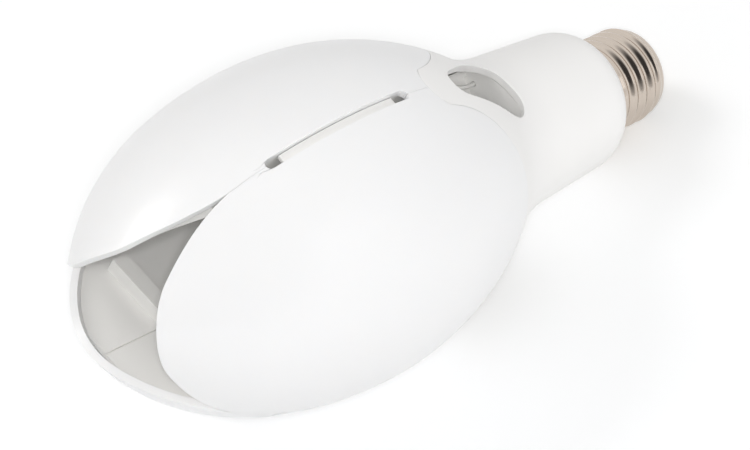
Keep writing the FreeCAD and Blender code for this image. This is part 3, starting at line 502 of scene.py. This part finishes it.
@dataclass(frozen=True)
class NeckForm:
    """Turned form of the neck: rounded shoulder, drafted collar, flare and the petals' lower side."""
    shoulder: float = 25.4
    shoulder_round: float = 10.0
    collar: float = 19.28
    draft: float = 4.0
    flare: float = 47.5
    belly: BellyForm = field(default_factory=BellyForm)

    def radius_at(self, z: float, inset: float = 0.0) -> float:
        """Radius above the shoulder's round.

        Args:
            z: The height.
            inset: How far inside the form.

        Returns:
            The radius.
        """
        tilt = math.radians(self.draft)
        across, along = Vector((math.cos(tilt), -math.sin(tilt))), Vector((math.sin(tilt), math.cos(tilt)))
        round_centre = self.round_centre
        side_centre = Vector((self.belly.radius - self.belly.neck_side, self.belly.middle))
        side, flare = self.belly.neck_side - inset, self.flare + inset
        base = round_centre + across * (self.shoulder_round - inset + flare)
        offset = base - side_centre
        half = offset.dot(along)
        travel = -half - math.sqrt(half * half - offset.length_squared + (side + flare) ** 2)
        centre = base + along * travel
        touch = side_centre + (centre - side_centre) * (side / (side + flare))
        collar_low = round_centre + across * (self.shoulder_round - inset)
        collar_high = centre - across * flare
        if z < collar_low.y:
            bend = self.shoulder_round - inset
            return round_centre.x + math.sqrt(max(bend ** 2 - (z - round_centre.y) ** 2, 0.0))
        if z < collar_high.y:
            return collar_low.x + (z - collar_low.y) * math.tan(tilt)
        if z < touch.y:
            return centre.x - math.sqrt(flare ** 2 - (z - centre.y) ** 2)
        return side_centre.x + math.sqrt(side ** 2 - (z - side_centre.y) ** 2)

    @property
    def round_centre(self) -> Vector:
        """Centre of the shoulder's round, as radius and height."""
        return Vector((self.collar - self.shoulder_round * math.cos(math.radians(self.draft)),
                       self.shoulder + self.shoulder_round))


# Sub-assemblies

@dataclass
class ScrewCap:
    """Plated screw shell with a rolled thread, black glass insulator and brass contact."""
    start: float = 6.2
    top: float = 25.2
    mouth: float = 10.6
    root: float = 12.2
    crest: float = 13.1
    pitch: float = 3.629
    first_crest: float = 10.15
    thread_low: float = 8.2
    thread_high: float = 24.2
    fade_in: float = 2.2
    fade_out: float = 2.6
    drawn_length: float = 2.6
    sheet: float = 0.4
    edge_round: float = 0.1
    rows: int = 170
    columns: int = 120
    # Radius and height of points round the glass, and of the contact from its tip back to the axis.
    glass_profile: Sequence[tuple[float, float]] = (
        (1.4, 1.35), (5.6, 1.35), (6.05, 1.5), (6.4, 1.9), (9.55, 6.1), (9.8, 6.5),
        (9.88, 7.0), (9.88, 8.4), (1.4, 8.4))
    glass_columns: int = 96
    contact_profile: Sequence[tuple[float, float]] = (
        (0, 0.0), (1.2, 0.02), (2.0, 0.16), (2.5, 0.3), (3.1, 0.22), (3.9, 0.12), (4.4, 0.22),
        (4.62, 0.5), (4.7, 0.9), (4.7, 1.28), (1.2, 1.28), (1.2, 8.6), (0, 8.6))
    contact_columns: int = 72

    def shell_radius(self, z: float, angle: float) -> float:
        """Radius of the shell's outer face.

        Args:
            z: The height.
            angle: Radians round the axis.

        Returns:
            The radius.
        """
        phase = 2 * math.pi * (z - self.first_crest) / self.pitch - angle
        wave = (1 + math.cos(phase)) / 2
        fade = eased((z - self.thread_low) / self.fade_in) * eased((self.thread_high - z) / self.fade_out)
        short = 1 - min(max((z - self.start) / self.drawn_length, 0.0), 1.0)
        drawn = self.root - (self.root - self.mouth) * (1 - math.sqrt(1 - short * short))
        return drawn + (self.crest - self.root) * wave * fade

    def build(self) -> None:
        """Build and dress the shell, the insulator and the contact."""
        step = (self.top - self.start) / self.rows
        bm, layer = drum_blank([self.start + step * i for i in range(self.rows + 1)], self.columns, 360)
        give_wall(bm, layer)
        for vert in bm.verts:
            angle = math.atan2(vert.co.y, vert.co.x)
            radius = self.shell_radius(vert.co.z, angle) - self.sheet * vert[layer]
            vert.co = Vector((radius * math.cos(angle), radius * math.sin(angle), vert.co.z)) * MM
        soften(bm, layer, self.edge_round)
        settle_piece("screw_shell_rolled", bm, NICKEL_PLATE, "cap_metal", "screw_shell")
        turned("insulator_poured", self.glass_profile, self.glass_columns, POURED_GLASS, "cap_glass",
               "cap_insulator")
        turned("contact_stamped", self.contact_profile, self.contact_columns, STAMPED_BRASS, "contact_brass",
               "centre_contact")


@dataclass
class VentOutline:
    """Three-cornered vent with round corners, seen from straight outside, broad towards the cap."""
    apex: float = 95.3
    apex_radius: float = 4.6
    corner_side: float = 3.8
    corner_height: float = 75.8
    corner_radius: float = 6.0
    centre: float = 82.0
    arc_steps: int = 24

    def points(self) -> list[tuple[float, float]]:
        """Points round the outline.

        Returns:
            Pairs of side and height, from the right corner's foot round to the left one's.
        """
        rise = self.apex - self.corner_height
        lean = math.atan2(self.corner_side, rise)
        lean += math.asin((self.corner_radius - self.apex_radius) / math.hypot(self.corner_side, rise))
        arcs = [((self.corner_side, self.corner_height), self.corner_radius, -math.pi / 2, lean),
                ((0.0, self.apex), self.apex_radius, lean, math.pi - lean),
                ((-self.corner_side, self.corner_height), self.corner_radius, math.pi - lean, 1.5 * math.pi)]
        found = []
        for (x, z), bend, first, last in arcs:
            for i in range(self.arc_steps + 1):
                angle = first + (last - first) * i / self.arc_steps
                found.append((x + bend * math.cos(angle), z + bend * math.sin(angle)))
        return found

    def reach(self, angle: float) -> float:
        """Distance from the vent's middle to its outline.

        Args:
            angle: Direction in radians, from the side towards the tip.

        Returns:
            The distance.
        """
        ray = Vector((math.cos(angle), math.sin(angle)))
        ring = [Vector((x, z - self.centre)) for x, z in self.points()]
        best = 0.0
        for first, last in zip(ring, ring[1:] + ring[:1]):
            along = last - first
            cross = ray.x * along.y - ray.y * along.x
            if abs(cross) < 1e-12:
                continue
            far = (first.x * along.y - first.y * along.x) / cross
            share = (first.x * ray.y - first.y * ray.x) / cross
            if far > 0 and -1e-9 <= share <= 1 + 1e-9:
                best = max(best, far)
        return best


@dataclass
class NeckHousing:
    """White neck moulding: shoulder, collar, flare, a tongue up each seam and a vent in each tongue."""
    form: NeckForm = field(default_factory=NeckForm)
    outline: PetalOutline = field(default_factory=PetalOutline)
    vent: VentOutline = field(default_factory=VentOutline)
    wall: float = 2.0
    spigot: float = 11.4
    spigot_start: float = 10.5
    spigot_wall: float = 2.0
    clearance: float = 0.03
    edge_round: float = 0.06
    edge_low: float = 70.0
    edge_high: float = 120.0
    base: float = 58.0
    shoulder_rows: int = 12
    low_rows: int = 30
    high_rows: int = 40
    columns: int = 360
    # The grid round a vent: columns and rows each way that it moves, and the share that the hole takes.
    block_columns: int = 36
    block_rows: int = 16
    hole_share: float = 0.5

    def low_point(self, row: int, inner: bool) -> tuple[float, float]:
        """Radius and height of a row below the vents.

        Args:
            row: The row, from the spigot's foot.
            inner: Whether it is on the inner wall.

        Returns:
            The pair.
        """
        inset = self.wall if inner else 0.0
        sleeve = self.spigot - (self.spigot_wall if inner else 0.0)
        centre, bend = self.form.round_centre, self.form.shoulder_round - inset
        lean = math.radians(self.form.draft)
        start = -math.acos((sleeve - centre.x) / bend)
        if row == 0:
            return sleeve, self.spigot_start
        arc = self.shoulder_rows
        if row <= arc:
            angle = start + (-lean - start) * (row - 1) / (arc - 1)
            return centre.x + bend * math.cos(angle), centre.y + bend * math.sin(angle)
        first = centre.y - bend * math.sin(lean)
        z = first + (self.base - first) * (row - arc) / (self.low_rows - arc)
        return self.form.radius_at(z, inset), z

    def top_height(self, angle: float, inset: float) -> float:
        """Height of the upper edge.

        Args:
            angle: Radians from the nearest petal's middle.
            inset: How far inside the form.

        Returns:
            The height.
        """
        def gap(z: float) -> float:
            """Height over the petal's edge."""
            return z - self.outline.arch_height(self.form.radius_at(z, inset), angle, self.clearance)
        return meet(gap, self.edge_low, self.edge_high)

    def build(self) -> None:
        """Build and dress the housing."""
        count = self.low_rows + self.high_rows
        bm, layer = drum_blank(range(count + 1), self.columns, 360)
        self.open_vents(bm)
        give_wall(bm, layer)
        degrees = [column * 360 / self.columns for column in range(self.columns)]
        turns = [math.radians((each + SEAM) % (2 * SEAM) - SEAM) for each in degrees]
        tops = [[self.top_height(turn, inset) for turn in turns] for inset in (0.0, self.wall)]
        for vert in bm.verts:
            inner = bool(vert[layer])
            angle = math.atan2(vert.co.y, vert.co.x)
            column = round(math.degrees(angle) * self.columns / 360) % self.columns
            vert.co = self.place(column, round(vert.co.z), inner, tops[inner]) * MM
        bmesh.ops.recalc_face_normals(bm, faces=bm.faces[:])
        soften(bm, layer, self.edge_round)
        settle_piece("neck_moulding", bm, SATIN_PBT, "white_housing", "neck_housing")

    def open_vents(self, bm: bmesh.types.BMesh) -> None:
        """Take the faces of each vent out of the blank sheet.

        Args:
            bm: The sheet, whose heights are still row numbers.
        """
        middle = self.low_rows + self.high_rows // 2
        gone = []
        for face in bm.faces:
            spot = face.calc_center_median()
            column = math.degrees(math.atan2(spot.y, spot.x)) * self.columns / 360
            seam = self.columns / 6
            across = abs(column % (2 * seam) - seam) / self.block_columns
            if max(across, abs(spot.z - middle) / self.block_rows) < self.hole_share:
                gone.append(face)
        bmesh.ops.delete(bm, geom=gone, context="FACES")

    def regular(self, column: float, row: float, top: float) -> tuple[float, float]:
        """Angle in degrees and height of a grid point that no vent moves."""
        share = (row - self.low_rows) / self.high_rows
        return column * 360 / self.columns, self.base + (top - self.base) * share

    def place(self, column: int, row: int, inner: bool, tops: Sequence[float]) -> Vector:
        """Find where a point of the blank belongs.

        Args:
            column: Its column.
            row: Its row.
            inner: Whether it is on the inner wall.
            tops: Height of the upper edge in each column.

        Returns:
            The point in millimetres.
        """
        inset = self.wall if inner else 0.0
        if row <= self.low_rows:
            radius, z = self.low_point(row, inner)
            turn = math.radians(column * 360 / self.columns)
            return Vector((radius * math.cos(turn), radius * math.sin(turn), z))
        degrees, z = self.regular(column, row, tops[column])
        seam = self.columns // 6
        aside = column % (2 * seam) - seam
        rise = row - self.low_rows - self.high_rows // 2
        across, up = aside / self.block_columns, rise / self.block_rows
        ring = max(abs(across), abs(up))
        if ring >= 1:
            turn, radius = math.radians(degrees), self.form.radius_at(z, inset)
            return Vector((radius * math.cos(turn), radius * math.sin(turn), z))
        middle = column - aside
        edge_column = middle + across / ring * self.block_columns
        edge_row = self.low_rows + self.high_rows // 2 + up / ring * self.block_rows
        low, part = math.floor(edge_column), edge_column - math.floor(edge_column)
        top = tops[low % self.columns] * (1 - part) + tops[(low + 1) % self.columns] * part
        edge_degrees, edge_z = self.regular(edge_column, edge_row, top)
        edge_turn = math.radians(edge_degrees - middle * 360 / self.columns)
        edge_side = self.form.radius_at(edge_z, inset) * math.sin(edge_turn)
        angle = math.atan2(edge_z - self.vent.centre, edge_side)
        hole = self.vent.reach(angle)
        far = math.hypot(edge_side, edge_z - self.vent.centre)
        share = (ring - self.hole_share) / (1 - self.hole_share)
        reach = hole + (far - hole) * share
        side, z = reach * math.cos(angle), self.vent.centre + reach * math.sin(angle)
        radius = self.form.radius_at(z, inset)
        turn = math.radians(middle * 360 / self.columns) + math.asin(side / radius)
        return Vector((radius * math.cos(turn), radius * math.sin(turn), z))


@dataclass
class PetalPod:
    """One petal: a milky diffuser shell recessed along both seams for the air slots."""
    petal: Petal
    form: BellyForm = field(default_factory=BellyForm)
    outline: PetalOutline = field(default_factory=PetalOutline)
    wall: float = 2.0
    half_turn: float = 59.97
    columns: int = 120
    slot_low: float = 120.0
    slot_high: float = 169.0
    slot_half_width: float = 1.45
    edge_low: float = 60.0
    edge_round: float = 0.1
    # Where the rows lie: above the arch, round the slot's ends and past them, along the slot, to the tip.
    arch_steps: Sequence[float] = (0.0, 0.7, 1.7, 3.2, 5.0)
    bow_steps: Sequence[float] = (0.0, 0.12, 0.35, 0.7, 1.05)
    slot_margin: float = 0.7
    slot_rows: int = 20
    tip_rows: int = 8
    tip_step: float = 0.6

    def arch_at(self, angle: float) -> float:
        """Height of the petal's edge towards the cap, at an angle in radians from its middle."""
        return meet(lambda z: z - self.outline.arch_height(self.form.radius_at(z), angle),
                    self.edge_low, self.form.middle)

    def tip_at(self, angle: float) -> float:
        """Height of the petal's edge towards the tip, at an angle in radians from its middle."""
        return meet(lambda z: z - self.outline.tip_height(self.form.radius_at(z) * math.sin(angle)),
                    self.form.middle, self.outline.tip)

    def seam_angle(self, z: float, radius: float) -> float:
        """Angle from the petal's middle to its seam edge, which steps back along the air slot.

        Args:
            z: The height.
            radius: Distance from the axis.

        Returns:
            Radians.
        """
        bend = self.slot_half_width
        past = max(self.slot_low + bend - z, z - self.slot_high + bend, 0.0)
        back = math.sqrt(bend * bend - past * past) if past < bend else 0.0
        return math.radians(SEAM) - max(math.radians(SEAM - self.half_turn), math.asin(back / radius))

    def row_shares(self) -> list[float]:
        """Shares of the way from arch to tip at which the shell has a row.

        Returns:
            Shares from nought to one, close together at the rims and at the slot's round ends.
        """
        edge = math.radians(self.half_turn)
        low, high = self.arch_at(edge), self.tip_at(edge)
        bow = [*self.bow_steps, self.slot_half_width]
        heights = [low + step for step in self.arch_steps]
        heights += [self.slot_low - self.slot_margin] + [self.slot_low + step for step in bow]
        first, last = heights[-1], self.slot_high - self.slot_half_width
        heights += [first + (last - first) * i / self.slot_rows for i in range(1, self.slot_rows)]
        heights += [self.slot_high - step for step in reversed(bow)] + [self.slot_high + self.slot_margin]
        first = heights[-1]
        heights += [first + (high - first) * i / self.tip_rows for i in range(1, self.tip_rows)]
        heights += [high - self.tip_step, high]
        return [(z - low) / (high - low) for z in sorted(heights)]

    def build(self) -> None:
        """Build and dress the diffuser."""
        bm, layer = drum_blank(self.row_shares(), self.columns, 2 * self.half_turn)
        give_wall(bm, layer)
        edges: dict[float, tuple[float, float]] = {}
        for vert in bm.verts:
            angle, share = math.atan2(vert.co.y, vert.co.x), vert.co.z
            across = angle / math.radians(self.half_turn)
            if round(across, 4) not in edges:
                edges[round(across, 4)] = self.arch_at(angle), self.tip_at(angle)
            low, high = edges[round(across, 4)]
            z = low + (high - low) * share
            radius, height = self.form.within(z, self.wall if vert[layer] else 0.0)
            turn = across * self.seam_angle(z, radius)
            vert.co = Vector((radius * math.cos(turn), radius * math.sin(turn), height)) * MM
        bmesh.ops.recalc_face_normals(bm, faces=bm.faces[:])
        soften(bm, layer, self.edge_round)
        bmesh.ops.transform(bm, matrix=self.petal.turn, verts=bm.verts[:])
        settle_piece("diffuser_shell_" + self.petal.letter, bm, OPAL_POLYCARBONATE, "milky_diffuser",
                     "diffuser_" + self.petal.letter)


@dataclass
class SlotFloor:
    """Light strip that shows at the foot of the air slot between two petals, open past both its ends."""
    name: str
    seam: float
    form: BellyForm = field(default_factory=BellyForm)
    low: float = 124.5
    high: float = 164.0
    half_width: float = 1.25
    depth: float = 1.3
    thickness: float = 1.4
    edge_round: float = 0.2
    rows: int = 24

    def build(self) -> None:
        """Build and dress the strip."""
        bm = bmesh.new()
        bmesh.ops.create_cube(bm, size=1.0)
        long = [edge for edge in bm.edges if abs(edge.verts[0].co.z - edge.verts[1].co.z) > 0.5]
        bmesh.ops.subdivide_edges(bm, edges=long, cuts=self.rows, use_grid_fill=True)
        for vert in bm.verts:
            z = self.low + (self.high - self.low) * (vert.co.z + 0.5)
            radius, height = self.form.within(z, self.depth + self.thickness * (0.5 - vert.co.x))
            turn = math.radians(self.seam) + math.asin(2 * self.half_width * vert.co.y / radius)
            vert.co = Vector((radius * math.cos(turn), radius * math.sin(turn), height)) * MM
        bmesh.ops.recalc_face_normals(bm, faces=bm.faces[:])
        sharp = [edge for edge in bm.edges if edge.calc_face_angle(0.0) > math.radians(45)]
        bmesh.ops.bevel(bm, geom=sharp, offset=self.edge_round * MM, offset_type="OFFSET", segments=2,
                        profile=0.5, affect="EDGES", clamp_overlap=True, material=-1)
        settle_piece(self.name, bm, INSIDE_PBT, "tray_plastic")


@dataclass
class Insides:
    """The pieces that stay as the CAD made them, each with its finish."""
    finishes: Mapping[str, Finish] = field(default_factory=lambda: {
        "driver_pot": INSIDE_PBT, "driver_board": GLASS_EPOXY, "filter_capacitor": SHRUNK_SLEEVE,
        "output_capacitor": SHRUNK_SLEEVE, "transformer": WINDING_TAPE, "choke": PRESSED_FERRITE,
        "rectifier": MOULDED_EPOXY, "film_capacitor": DIPPED_EPOXY, "switch_chip": MOULDED_EPOXY,
        "fuse": GLAZED_CERAMIC, "live_lead": RED_PVC, "neutral_lead": BLACK_PVC,
        "board_screws": ZINC_STEEL, "tray_screws": ZINC_STEEL})
    petal_finishes: Mapping[str, Finish] = field(default_factory=lambda: {
        "tray": INSIDE_PBT, "heat_plate": ROLLED_ALUMINIUM, "led_board": SOLDER_MASK, "led_chips": PHOSPHOR,
        "led_leads": WHITE_PVC})

    def dress(self) -> None:
        """Give each CAD node its material."""
        wanted = dict(self.finishes)
        for petal in Petal:
            wanted |= {f"{name}_{petal.letter}": finish for name, finish in self.petal_finishes.items()}
        for name, finish in wanted.items():
            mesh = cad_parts[name].data
            mesh.materials.clear()
            mesh.materials.append(finished(finish))
            LOG.info("%s: %s", name, finish.name)


# Studio

@dataclass
class Softbox:
    """A square lamp that looks at the bulb: direction by the camera's right, up and back; metres, watts."""
    name: str
    direction: tuple[float, float, float]
    distance: float
    size: float
    power: float
    colour: str = "#FFFFFF"
    mirrored: bool = True

    def place(self, target: Vector, axes: Matrix) -> None:
        """Put the lamp up.

        Args:
            target: The point that it looks at, in metres.
            axes: The camera's turn.
        """
        lamp = bpy.data.lights.new(self.name, "AREA")
        lamp.shape, lamp.size, lamp.energy = "SQUARE", self.size, self.power
        lamp.color = linear(self.colour)[:3]
        made = bpy.data.objects.new(self.name, lamp)
        bpy.context.scene.collection.objects.link(made)
        way = (axes @ Vector(self.direction)).normalized()
        made.location = target + way * self.distance
        made.rotation_mode = "QUATERNION"
        made.rotation_quaternion = way.to_track_quat("Z", "Y")
        made.visible_glossy = self.mirrored


@dataclass
class Studio:
    """White sweep that the bulb lies on, soft lamps and the camera, placed in metres."""
    # The photograph's viewpoint, fitted to the bulb's outline in it. The lens and sensor are millimetres.
    camera_place: tuple[float, float, float] = (0.07049, -0.94904, 0.96198)
    camera_turn: tuple[float, float, float, float] = (0.516839, 0.203291, 0.354976, -0.752025)
    lens: float = 240.0
    sensor: float = 36.0
    view_depth: float = 50.0
    # The plane that the bulb lies on: its upward direction and how far it is below the origin.
    floor_up: tuple[float, float, float] = (0.6906, -0.6739, 0.2627)
    floor_drop: float = 0.01085
    floor_size: float = 4.0
    middle: tuple[float, float, float] = (0.0, 0.0, 0.11)
    sheet: str = "#B0B0B0"
    backlight: float = 0.36
    seen_glow: str = "#7C796F"
    seen_sheet: str = "#F3F5FA"
    sky: float = 0.5
    room: float = 0.05
    room_edge: float = 0.5
    room_middle: float = 0.9
    softboxes: Sequence[Softbox] = (
        Softbox("key_softbox", (-0.65, 0.6, 0.45), 1.1, 0.4, 2.6, "#FFFDFA"),
        Softbox("side_softbox", (0.81, 0.11, 0.57), 1.0, 0.45, 0.36),
        Softbox("side_card", (0.9, -0.15, 0.4), 1.0, 0.6, 1.9, mirrored=False),
        Softbox("front_softbox", (0.0, 0.0, 1.0), 1.45, 0.12, 7.0, mirrored=False),
    )

    def build(self) -> None:
        """Set the camera, the floor, the lamps and the sky."""
        scene = bpy.context.scene
        scene.view_settings.view_transform = "Standard"
        lens = bpy.data.cameras.new("camera")
        lens.lens, lens.sensor_width, lens.clip_end = self.lens, self.sensor, self.view_depth
        camera = bpy.data.objects.new("camera", lens)
        camera.location = self.camera_place
        camera.rotation_mode = "QUATERNION"
        camera.rotation_quaternion = self.camera_turn
        scene.collection.objects.link(camera)
        scene.camera = camera
        axes = Quaternion(self.camera_turn).to_matrix()
        for softbox in self.softboxes:
            softbox.place(Vector(self.middle), axes)
        self.lay_floor()
        self.hang_sky(scene)

    def lay_floor(self) -> None:
        """Lay the floor that touches the petals and the cap."""
        bm = bmesh.new()
        bmesh.ops.create_grid(bm, x_segments=2, y_segments=2, size=self.floor_size / 2)
        up = Vector(self.floor_up).normalized()
        lie = up.to_track_quat("Z", "Y").to_matrix().to_4x4()
        drop = Matrix.Translation(-up * self.floor_drop)
        bmesh.ops.transform(bm, matrix=drop @ lie, verts=bm.verts[:])
        mesh = bpy.data.meshes.new("floor")
        bm.to_mesh(mesh)
        bm.free()
        mesh.materials.append(self.floor_material())
        floor = bpy.data.objects.new("floor", mesh)
        bpy.context.scene.collection.objects.link(floor)

    def floor_material(self) -> bpy.types.Material:
        """Make the paper of the sweep: white to the camera and in reflections, but for the bulb's shadow.

        Returns:
            The floor's material.
        """
        made, tree = new_tree("white_sweep_paper")
        path = add(tree, "ShaderNodeLightPath")
        seen = add(tree, "ShaderNodeMath", {
            0: path.outputs["Is Camera Ray"], 1: path.outputs["Is Glossy Ray"]}, operation="MAXIMUM")
        seen = add(tree, "ShaderNodeMath", {0: seen.outputs[0], 1: path.outputs["Is Transmission Ray"]},
                   operation="MAXIMUM")
        sheet = add(tree, "ShaderNodeBsdfDiffuse", {"Color": linear(self.sheet)})
        backlight = add(tree, "ShaderNodeEmission", {"Color": linear("#FFFFFF"), "Strength": self.backlight})
        paper = add(tree, "ShaderNodeAddShader", {0: sheet.outputs[0], 1: backlight.outputs[0]})
        glow = add(tree, "ShaderNodeEmission", {"Color": linear(self.seen_glow), "Strength": 1.0})
        dim = add(tree, "ShaderNodeBsdfDiffuse", {"Color": linear(self.seen_sheet)})
        lit = add(tree, "ShaderNodeAddShader", {0: dim.outputs[0], 1: glow.outputs[0]})
        shown = add(tree, "ShaderNodeMixShader", {0: seen.outputs[0], 1: paper.outputs[0], 2: lit.outputs[0]})
        behind = add(tree, "ShaderNodeNewGeometry").outputs["Backfacing"]
        clear = add(tree, "ShaderNodeBsdfTransparent")
        both = add(tree, "ShaderNodeMixShader", {0: behind, 1: shown.outputs[0], 2: clear.outputs[0]})
        add(tree, "ShaderNodeOutputMaterial", {"Surface": both.outputs[0]})
        return made

    def hang_sky(self, scene: bpy.types.Scene) -> None:
        """Light the studio from all round, with white behind the bulb and a dark room behind the camera.

        Args:
            scene: The scene that gets the sky.
        """
        world = bpy.data.worlds.new("studio_sky")
        world.use_nodes = True
        tree = world.node_tree
        tree.nodes.clear()
        path = add(tree, "ShaderNodeLightPath")
        way = add(tree, "ShaderNodeTexCoord").outputs["Generated"]
        toward = (Vector(self.camera_place) - Vector(self.middle)).normalized()
        facing = add(tree, "ShaderNodeVectorMath", {0: way, 1: toward}, operation="DOT_PRODUCT")
        room = add(tree, "ShaderNodeMapRange", {
            "Value": facing.outputs["Value"], "From Min": self.room_edge, "From Max": self.room_middle,
            "To Min": 1.0, "To Max": self.room})
        white = add(tree, "ShaderNodeBackground", {"Color": linear("#FFFFFF"), "Strength": 1.0})
        soft = add(tree, "ShaderNodeBackground", {"Color": linear("#FFFFFF"), "Strength": self.sky})
        dark = add(tree, "ShaderNodeBackground", {
            "Color": linear("#FFFFFF"), "Strength": room.outputs["Result"]})
        lit = add(tree, "ShaderNodeMixShader", {0: path.outputs["Is Glossy Ray"], 1: soft.outputs[0],
                                                2: dark.outputs[0]})
        shown = add(tree, "ShaderNodeMixShader", {0: path.outputs["Is Camera Ray"], 1: lit.outputs[0],
                                                  2: white.outputs[0]})
        add(tree, "ShaderNodeOutputWorld", {"Surface": shown.outputs[0]})
        scene.world = world


def main() -> None:
    """Build the bulb and the studio in order."""
    logging.basicConfig(level=logging.INFO, format="%(name)s %(message)s")
    Studio().build()
    ScrewCap().build()
    NeckHousing().build()
    for petal in Petal:
        PetalPod(petal).build()
        SlotFloor("slot_floor_" + petal.letter, petal.value + SEAM).build()
    Insides().dress()


if __name__ == "__main__":
    main()
